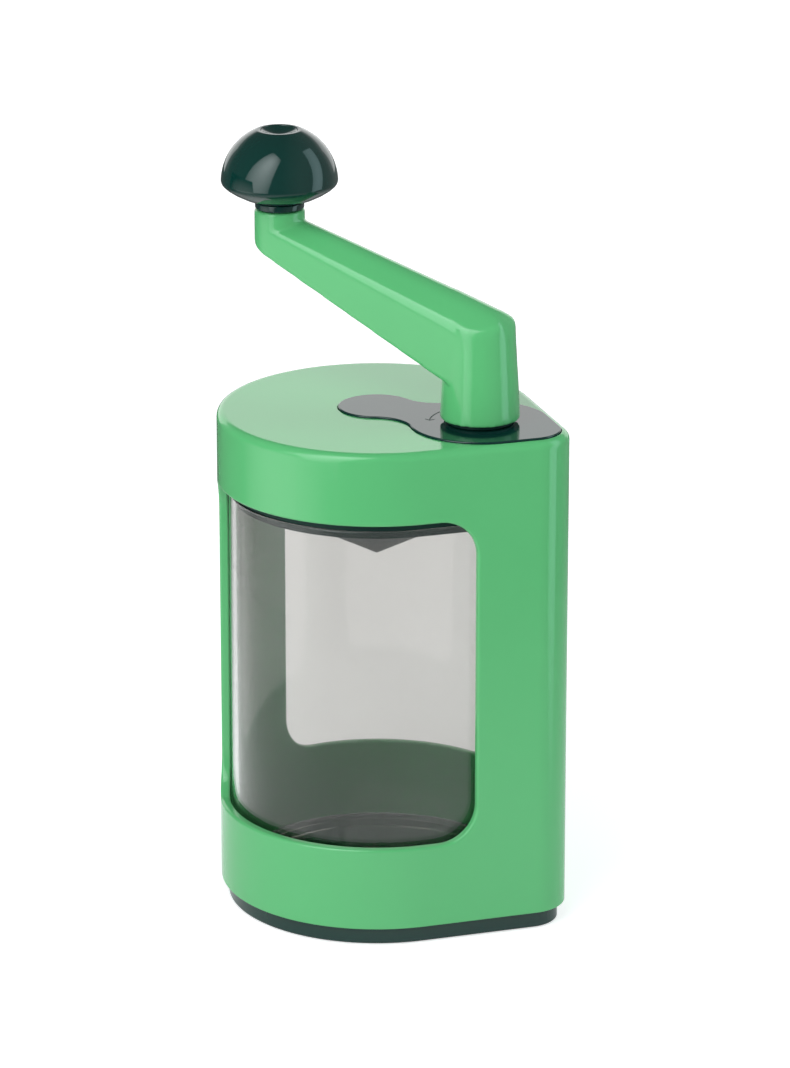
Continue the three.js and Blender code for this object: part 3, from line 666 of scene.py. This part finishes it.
def make_housing():
    """The sleeve: its wall is made flat, with lip, roundings and windows, and then wrapped."""
    low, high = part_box("housing")
    foot, top = low.z, high.z
    ceiling = top - WALL
    path, runs = wall_path()
    first, last = runs[1], runs[-2]
    leave_edit()
    bpy.ops.mesh.primitive_cube_add(size=1)
    sleeve = bpy.context.object
    sleeve.name = sleeve.data.name = "sleeve_shell"
    sleeve.location = ((first + last) / 2, WALL / 2, (foot + top) / 2)
    sleeve.scale = (last - first, WALL, top - foot)
    settle(sleeve)
    edit(sleeve)
    bpy.ops.mesh.bisect(plane_co=(0, 0, ceiling), plane_no=(0, 0, 1))
    reach = 6 * MM
    pick("FACE", lambda face: face.normal.y > 0.9 and face.calc_center_median().z > ceiling)
    bpy.ops.mesh.extrude_region_move(TRANSFORM_OT_translate={"value": (0, reach, 0)})
    lip = WALL + reach
    pick("FACE", lambda face: abs(face.normal.x) > 0.9 or near(face.calc_center_median().y, lip))
    bpy.ops.mesh.delete(type="FACE")
    at = lambda edge, y: all(near(corner.co.y, y) for corner in edge.verts)
    round_edges(lambda edge: level(edge, top) and at(edge, 0), 2.5 * MM, 7)
    round_edges(lambda edge: level(edge, foot) and at(edge, 0), 0.45 * MM, 3)
    round_edges(lambda edge: level(edge, foot) and at(edge, WALL), 0.6 * MM, 2)
    round_edges(lambda edge: level(edge, ceiling) and at(edge, WALL), 1 * MM, 3)

    window_start = first + ROUND * math.radians(22)
    window_end = first + ROUND * math.radians(135) + 17 * MM
    middle = (first + last) / 2
    spans = [(window_start, window_end), (2 * middle - window_end, 2 * middle - window_start)]
    sill, head = foot + 26.7 * MM, top - 23 * MM
    for start, end in spans:
        edit(sleeve)
        bpy.ops.mesh.bisect(plane_co=((start + end) / 2, 0, 0), plane_no=(1, 0, 0))
        carve(sleeve, window_tool(start, end, sill, head))
    edit(sleeve)

    def rim(edge, y):
        inside = all(sill - MM < c.co.z < head + MM and near(c.co.y, y) for c in edge.verts)
        return inside and bent(edge, 60)

    round_edges(lambda edge: rim(edge, 0), 0.9 * MM, 4)
    round_edges(lambda edge: rim(edge, WALL), 0.7 * MM, 3)
    for run in runs[2:-2]:
        bpy.ops.mesh.select_all(action="SELECT")
        bpy.ops.mesh.bisect(plane_co=(run, 0, 0), plane_no=(1, 0, 0))

    take(sleeve)
    wrap = sleeve.modifiers.new("wrap", "CURVE")
    wrap.object = path
    wrap.deform_axis = "POS_X"
    bpy.ops.object.modifier_apply(modifier="wrap")
    bpy.data.objects.remove(path)
    edit(sleeve)
    bpy.ops.mesh.remove_doubles(threshold=0.01 * MM)
    for height in (top, ceiling):
        pick("EDGE", lambda edge: edge.is_boundary and level(edge, height))
        bpy.ops.mesh.edge_face_add()
    bpy.ops.mesh.select_all(action="SELECT")
    bpy.ops.mesh.normals_make_consistent(inside=False)

    # Screw bosses under the ceiling, the cover's seat, and the hole for the crank's bush
    gap = 0.3 * MM
    boss_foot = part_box("gearbox_plate")[1].z + gap
    boss_section = ring_profile(1.8 * MM, 3.6 * MM, boss_foot, ceiling + 0.5 * MM)
    for degrees in (60, 140, -140, -60):
        turn = math.radians(degrees)
        x, y = 38 * MM * math.cos(turn), 38 * MM * math.sin(turn)
        carve(sleeve, spun("boss", boss_section, x, y, 40), "UNION")
    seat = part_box("gear_cover")[0].z - gap
    carve(sleeve, block("cover_seat", *cover_outline(gap), seat, top + MM))
    carve(sleeve, rod("bush_hole", 6.4 * MM, ceiling - MM, top, CRANK_X))
    edit(sleeve)
    round_edges(lambda edge: level(edge, top) and bent(edge, 60), 0.25 * MM, 2)
    hand_over(sleeve, light_green, "light_green_plastic", "sleeve", "housing")


def make_gear_cover():
    low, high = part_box("gear_cover")
    cover = block("gear_cover_plate", *cover_outline(0), low.z, high.z)
    round_edges(lambda edge: level(edge, high.z) and bent(edge), 0.35 * MM, 3)
    carve(cover, rod("shaft_hole", 4.5 * MM, low.z - MM, high.z + MM, CRANK_X))
    hand_over(cover, dark_green, "dark_green_plastic", "sleeve", "gear_cover")


def make_turn_arrow():
    """A fine raised arrow on the cover that shows which way the crank turns."""
    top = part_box("gear_cover")[1].z
    foot, peak = top - 0.1 * MM, top + 0.05 * MM

    def at(radius, degrees):
        turn = math.radians(degrees)
        return (CRANK_X + radius * math.cos(turn), radius * math.sin(turn))

    inner, outer = 15.4 * MM, 15.8 * MM
    first, sweep = 133, 70
    start = at(outer, first)
    shaft = [
        (CRANK_X, 0, sweep, 40), at(inner, first + sweep), (CRANK_X, 0, -sweep, 40), start
    ]
    arrow = block("turn_arrow", start, shaft, foot, peak)
    leave_edit()
    barbs = [at(17.1 * MM, 200.5), at(15.6 * MM, 204.8), at(14.1 * MM, 200.5)]
    tips = [at(14.1 * MM, 199.3), at(15.6 * MM, 203.2), at(17.1 * MM, 199.3)]
    head = block("arrow_head", barbs[0], barbs[1:] + tips + barbs[:1], foot, peak)
    leave_edit()
    head.select_set(True)
    arrow.select_set(True)
    bpy.context.view_layer.objects.active = arrow
    bpy.ops.object.join()
    hand_over(arrow, satin_green, "dark_green_plastic", "sleeve")


# ---- Crank ----

# The arm from the side: its top runs up from the summit, square to RISE, and its lower side from
# the root, which is steeper. The summit and the root are on the hub's axis.
ARM_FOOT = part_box("crank_arm")[0].z
ARM_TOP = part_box("crank_arm")[1].z
SUMMIT = Vector((CRANK_X, 0, ARM_FOOT + 34.1 * MM))
RISE = Vector((21.4 / 70, 0, 1)).normalized()
ALONG = Vector((-RISE.z, 0, RISE.x))
ROOT = Vector((CRANK_X, 0, ARM_FOOT + 9.3 * MM))
ROOT_RISE = Vector((34.1 / 70, 0, 1))
CHIN = Vector((KNOB_X - 6.4 * MM, 0, ARM_FOOT + 46.7 * MM))
HUB_RADIUS = 10.95 * MM
HUB_FOOT_RADIUS = 12.45 * MM
FLARE_TOP = ARM_FOOT + 26.8 * MM

# The section across the arm: a round crown that falls away straight on both sides
CROWN = 9 * MM
CROWN_PEAK = 2.1 * MM
CROWN_LEAN = math.radians(34.5)
CROWN_EDGE = CROWN * math.sin(CROWN_LEAN)
CROWN_EDGE_HEIGHT = CROWN_PEAK - CROWN * (1 - math.cos(CROWN_LEAN))
DEPTH = -60 * MM
STAND = Matrix.Translation(SUMMIT) @ Matrix(((0, 1, 0), RISE, ALONG)).transposed().to_4x4()


def crowned_mould(name, ridge, edge_height, below, near_end, far_end):
    """A crowned section, raised along the arm and left in edit mode."""
    strokes = [
        (CROWN_EDGE, CROWN_EDGE_HEIGHT),
        (0, CROWN_PEAK - CROWN, 2 * math.degrees(CROWN_LEAN), 20),
        (-ridge, edge_height),
        *below,
    ]
    return block(name, (ridge, edge_height), strokes, near_end, far_end)


def stand_up(mould):
    """Puts a mould that was drawn flat in its place on the arm."""
    leave_edit()
    mould.matrix_world = STAND
    settle(mould)
    edit(mould)
    bpy.ops.mesh.normals_make_consistent(inside=False)


def arm_block():
    """The arm's plan, cut off below, under the knob and at the hub's axis, and then moulded."""
    root_radius, tip_radius = 11.05 * MM, 7.9 * MM
    tangent = math.degrees(math.acos((root_radius - tip_radius) / (CRANK_X - KNOB_X)))
    turn = math.radians(180 - tangent)
    start = (CRANK_X + root_radius * math.cos(turn), -root_radius * math.sin(turn))
    strokes = [
        (CRANK_X, 0, 360 - 2 * tangent, 72),
        (KNOB_X + tip_radius * math.cos(turn), tip_radius * math.sin(turn)),
        (KNOB_X, 0, 2 * tangent, 56),
        start,
    ]
    arm = block("crank", start, strokes, ARM_FOOT + 2 * MM, ARM_TOP - 0.3 * MM)
    cuts = ((ROOT, ROOT_RISE), (CHIN, (1, 0, 0.75)), (SUMMIT, (-1, 0, 0)))
    for place, square in cuts:
        bpy.ops.mesh.select_all(action="SELECT")
        bpy.ops.mesh.bisect(plane_co=place, plane_no=square, use_fill=True, clear_inner=True)

    ridge = 10.2 * MM
    edge_height = CROWN_EDGE_HEIGHT - (ridge - CROWN_EDGE) * math.tan(CROWN_LEAN)
    belly, belly_turn = 17 * MM, 20
    side = ridge + belly * (1 - math.cos(math.radians(belly_turn)))
    drop = edge_height - belly * math.sin(math.radians(belly_turn))
    flanks = [
        (belly - side, drop, belly_turn, 8),
        (-side, DEPTH),
        (side, DEPTH),
        (side, drop),
        (side - belly, drop, belly_turn, 8),
    ]
    ends = (-20 * MM, 100 * MM)
    mould = crowned_mould("arm_mould", ridge, edge_height, flanks, *ends)
    for end in ends:
        pick("VERT", lambda corner: near(corner.co.z, end))
        share = 1 - 0.25 * end / CRANK_REACH
        bpy.ops.transform.resize(value=(share, share, 1), center_override=(0, 0, end))
    stand_up(mould)
    carve(arm, mould, "INTERSECT")
    return arm


def hub_block():
    """The hub under the same crown, flared at its foot and rounded off at its outer end."""
    profile = [
        (0, ARM_FOOT),
        (HUB_FOOT_RADIUS, ARM_FOOT),
        (HUB_RADIUS, FLARE_TOP),
        (HUB_RADIUS, ARM_TOP),
        (0, ARM_TOP),
    ]
    hub = spun("hub", profile, CRANK_X)
    cheek = 14 * MM
    low_cheek = CROWN_EDGE_HEIGHT - (cheek - CROWN_EDGE) * math.tan(CROWN_LEAN)
    flanks = [(-cheek, DEPTH), (cheek, DEPTH), (cheek, low_cheek)]
    mould = crowned_mould("hub_mould", cheek, low_cheek, flanks, -40 * MM, 40 * MM)
    stand_up(mould)
    carve(hub, mould, "INTERSECT")

    radius = 9 * MM
    end_x = CRANK_X + HUB_RADIUS - radius
    ceiling = SUMMIT + (CROWN_PEAK - radius) * RISE
    end_z = ceiling.z + (end_x - ceiling.x) * ALONG.z / ALONG.x
    far_x = CRANK_X - 40 * MM
    outline = [
        (end_x, end_z, math.degrees(math.atan2(RISE.z, RISE.x)), 24),
        (far_x, end_z + radius * RISE.z + (far_x - end_x - radius * RISE.x) * ALONG.z / ALONG.x),
        (far_x, ARM_FOOT - 10 * MM),
        (end_x + radius + 3 * MM, ARM_FOOT - 10 * MM),
        (end_x + radius, FLARE_TOP),
        (end_x + radius, end_z),
    ]
    end = block("hub_end", (end_x + radius, end_z), outline, -30 * MM, 30 * MM)
    leave_edit()
    end.matrix_world = Matrix.Rotation(math.radians(90), 4, "X")
    settle(end)
    carve(hub, end, "INTERSECT")
    return hub


def soften(piece, iterations, group=""):
    """Smooths a piece's mesh, all of it or as much as a group of its corners says."""
    take(piece)
    soft = piece.modifiers.new("soft", "SMOOTH")
    soft.factor = 0.5
    soft.iterations = iterations
    soft.vertex_group = group
    bpy.ops.object.modifier_apply(modifier="soft")


def make_crank_arm():
    """The hub, the arm with its crowned top and bellied flanks, and the post, blended as one."""
    arm = arm_block()
    carve(arm, hub_block(), "UNION")
    post = rod("post", 7.86 * MM, ARM_TOP - 8.4 * MM, ARM_TOP, KNOB_X, 0, 96)
    carve(arm, post, "UNION")

    # All creases blended as a mould would, and those of the hub's end more and more
    take(arm)
    even = arm.modifiers.new("even", "REMESH")
    even.mode = "VOXEL"
    even.voxel_size = 0.4 * MM
    bpy.ops.object.modifier_apply(modifier="even")
    soften(arm, 12)
    edit(arm)
    settings = bpy.context.scene.tool_settings
    settings.vertex_group_weight = 0
    bpy.ops.object.vertex_group_assign_new()
    steps = 15
    for step in range(1, steps + 1):
        edge = CRANK_X + (0.75 * step - 9) * MM
        height = ARM_FOOT + (12 + 0.3 * step) * MM
        pick("VERT", lambda corner: corner.co.x > edge and corner.co.z > height)
        settings.vertex_group_weight = (step / steps) ** 2
        bpy.ops.object.vertex_group_assign()
    soften(arm, 110, arm.vertex_groups[0].name)
    hand_over(arm, light_green, "light_green_plastic", "crank", "crank_arm")


def make_hub_collar():
    low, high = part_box("hub_collar")
    collar = spun("collar", ring_profile(4.5 * MM, 10.6 * MM, low.z, high.z), CRANK_X)
    round_edges(bent, 0.15 * MM, 2)
    hand_over(collar, satin_green, "dark_green_plastic", "crank", "hub_collar")


def make_knob_washer():
    low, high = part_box("knob_washer")
    washer = spun("washer", ring_profile(2.8 * MM, 7.7 * MM, low.z, high.z), KNOB_X)
    round_edges(bent, 0.4 * MM, 3)
    hand_over(washer, dark_green, "dark_green_plastic", "crank", "knob_washer")


def make_knob():
    """The domed knob with its bore for the axle and the socket for its cap."""
    low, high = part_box("knob")
    foot, lip = low.z, high.z
    radius = 18.3 * MM
    rim = foot + 5.6 * MM
    lip_angle = math.degrees(math.asin((lip - rim) / radius))
    bore, socket = 2.8 * MM, 5.75 * MM
    socket_floor = lip - 7 * MM
    profile = [
        (bore, foot),
        (8.2 * MM, foot),
        (11.5 * MM, foot + 1.15 * MM),
        (14.6 * MM, foot + 2.75 * MM),
        (16.7 * MM, foot + 4.15 * MM),
        *arc(0, rim, radius, 0, lip_angle, 22),
        (socket, lip),
        (socket, socket_floor),
        (bore, socket_floor),
        (bore, foot),
    ]
    knob = spun("knob_shell", profile, KNOB_X, steps=128)

    def widest(edge):
        reaches = (math.hypot(corner.co.x - KNOB_X, corner.co.y) for corner in edge.verts)
        return level(edge, rim) and all(near(reach, radius, 0.05 * MM) for reach in reaches)

    round_edges(widest, 1.1 * MM, 4)
    round_edges(lambda edge: level(edge, lip) and bent(edge, 20), 0.3 * MM, 3)
    hand_over(knob, dark_green, "dark_green_plastic", "knob", "knob")


def make_knob_cap():
    """The cap over the axle's head, with a dish in its top."""
    low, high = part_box("knob_cap")
    radius, dish, steps = 5.65 * MM, 1.6 * MM, 9
    rim = high.z - 0.15 * MM
    profile = [(0, low.z), (radius, low.z), (radius, rim)]
    for i in range(1, steps + 1):
        share = 1 - i / steps
        profile.append((radius * share, rim - dish * (1 - share * share)))
    cap = spun("cap", profile, KNOB_X)
    round_edges(bent, 0.2 * MM, 2)
    hand_over(cap, dark_green, "dark_green_plastic", "knob", "knob_cap")


make_foot_pad()
make_base_tray()
make_container()
make_blade_insert()
make_housing()
make_gear_cover()
make_turn_arrow()
make_crank_arm()
make_hub_collar()
make_knob_washer()
make_knob()
make_knob_cap()

# ---- CAD nodes that keep their shape ----

finishes = {
    "slicing_blade": steel_blade,
    "crank_bush": acetal,
    "gearbox_plate": acetal,
    "spindle_bush": acetal,
    "crank_gear": acetal,
    "spindle_gear": acetal,
    "food_holder": dark_green,
}
replaced = (
    "foot_pad", "base_tray", "container", "blade_insert", "housing", "gear_cover",
    "crank_arm", "hub_collar", "knob_washer", "knob", "knob_cap",
)
for name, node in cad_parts.items():
    if name not in replaced:
        node.data.materials.clear()
        node.data.materials.append(finishes.get(name, steel_turned))


# ---- Camera, floor and light ----

# The camera: elevation and azimuth measured from the photograph's perspective
elevation, azimuth = math.radians(18.5796), math.radians(27.3956)
level_reach = math.cos(elevation)
back = Vector(
    (math.sin(azimuth) * level_reach, -math.cos(azimuth) * level_reach, math.sin(elevation))
)
right = Vector((math.cos(azimuth), math.sin(azimuth), 0))
up = back.cross(right)
viewer = Matrix((right, up, back)).transposed()
lens = bpy.data.cameras.new("camera")
camera = bpy.data.objects.new("camera", lens)
bpy.context.scene.collection.objects.link(camera)
camera.location = (1694 * back + 5.733 * right + 113.375 * up) * MM
camera.rotation_euler = viewer.to_euler()
focal_length, long_side, sensor = 5264, 1068, 36
lens.sensor_width = sensor
lens.lens = focal_length / long_side * sensor
lens.clip_start = 0.01
lens.clip_end = 20
bpy.context.scene.camera = camera
bpy.context.scene.view_settings.view_transform = "Standard"


FLOOR_WHITE = (0.82, 0.82, 0.82, 1)


def make_floor():
    """A white floor that takes the slicer's shadow."""
    leave_edit()
    bpy.ops.mesh.primitive_plane_add(size=6, location=(0, 0, -0.0002))
    floor = bpy.context.object
    floor.name = "floor"
    recipe = Recipe(bpy.data.materials.new("white floor"))
    recipe.surface(
        Base_Color=FLOOR_WHITE,
        Roughness=0.9,
        Specular_IOR_Level=0.0,
        Emission_Color=recipe.ray("Is Camera Ray") + recipe.ray("Is Transmission Ray"),
        Emission_Strength=0.62,
    )
    floor.data.materials.append(recipe.owner)
    floor.visible_glossy = False


def make_tabletop():
    """A white round tabletop with a soft edge, which only reflections see."""
    radius, full = 0.42, 0.14
    leave_edit()
    bpy.ops.mesh.primitive_circle_add(
        vertices=96, radius=radius, fill_type="NGON", location=(0, 0, -0.0001)
    )
    table = bpy.context.object
    table.name = "tabletop"
    recipe = Recipe(bpy.data.materials.new("tabletop"))
    recipe.surface(
        Base_Color=FLOOR_WHITE,
        Roughness=0.9,
        Specular_IOR_Level=0.0,
        Alpha=recipe.ramp(recipe.length(recipe.place()), radius, full),
        Emission_Color=(1, 1, 1, 1),
        Emission_Strength=0.3,
    )
    table.data.materials.append(recipe.owner)
    table.visible_camera = table.visible_transmission = False
    table.visible_diffuse = table.visible_shadow = False


def make_world():
    """White where it is seen, plain fill light, and for reflections a studio, white behind."""
    world = bpy.data.worlds.new("studio")
    bpy.context.scene.world = world
    recipe = Recipe(world, "Background", "OutputWorld")
    seen = recipe.ray("Is Camera Ray").maths("MAXIMUM", recipe.ray("Is Transmission Ray"))
    way = recipe.add("TexCoord", {}, {}, "Generated")
    height = recipe.add("SeparateXYZ", {}, {"Vector": way}, "Z")
    wall = recipe.ramp(recipe.along(way, (-right.y, right.x, 0)), 0.55, 0.92)
    wall = wall * recipe.ramp(height, 0.5, 0.38) * recipe.ramp(height, -0.08, 0.04)
    side = recipe.ramp(recipe.along(way, right[:]), 0.1, 0.7)
    studio = 0.12 + 0.55 * wall + 0.2 * side
    fill = 0.19 + 0.29 * side + 0.36 * recipe.ramp(height, 0.7, 0.1)
    unseen = fill + recipe.ray("Is Glossy Ray") * (studio - fill)
    recipe.feed(recipe.shader.inputs["Color"], seen + (1 - seen) * unseen)
    recipe.feed(recipe.shader.inputs["Strength"], 1)


def softbox(name, middle, along, width, length, glow, rim=0.3, reach=1.3, tint=(1, 1, 1)):
    """A soft card of light that faces the slicer.

    Its middle and its long way are given as the camera sees them: right, up, towards the camera.
    It is brightest in its middle and falls to a share of that, its rim, at its reach.
    """
    long_way = (viewer @ Vector(along)).normalized()
    heart = Vector((0, 0, 0.15))
    place = heart + viewer @ Vector(middle)
    facing = place - heart
    facing = (facing - facing.dot(long_way) * long_way).normalized()
    leave_edit()
    bpy.ops.mesh.primitive_plane_add(size=1)
    card = bpy.context.object
    card.name = name
    card.scale = (width, length, 1)
    settle(card)
    turned = Matrix((long_way.cross(facing), long_way, facing)).transposed().to_4x4()
    card.matrix_world = Matrix.Translation(place) @ turned
    recipe = Recipe(bpy.data.materials.new(name), "Emission")
    distance = recipe.length(recipe.place((2 / width, 2 / length, 0)))
    fade = recipe.ramp(distance, reach, 0.2, rim)
    colour = recipe.add("VectorMath", {"operation": "SCALE"}, {0: tint, "Scale": fade}, "Vector")
    recipe.feed(recipe.shader.inputs["Color"], colour)
    recipe.feed(recipe.shader.inputs["Strength"], glow)
    card.data.materials.append(recipe.owner)
    card.visible_camera = card.visible_transmission = card.visible_shadow = False


make_floor()
make_tabletop()
make_world()
softbox(
    "left softbox", (-0.482, 0.76, 1.118), (0.244, 0.867, 0.434),
    width=0.96, length=2.7, glow=4.7, rim=0.2, tint=(0.93, 1, 1.01),
)
softbox(
    "low left card", (-0.905, -0.4, 0.2), (0, 0.948, 0.319),
    width=1.6, length=1.1, glow=1.5, rim=0, reach=1,
)
softbox(
    "right strip", (0.997, 0.172, 0.15), (-0.268, 0.96, -0.089),
    width=0.46, length=1.8, glow=2.3, rim=0.7, tint=(0.72, 0.96, 1),
)
softbox("white backdrop", (0, 0.79, -1.42), (1, 0, 0), width=0.85, length=2.6, glow=1.5, rim=0.9)
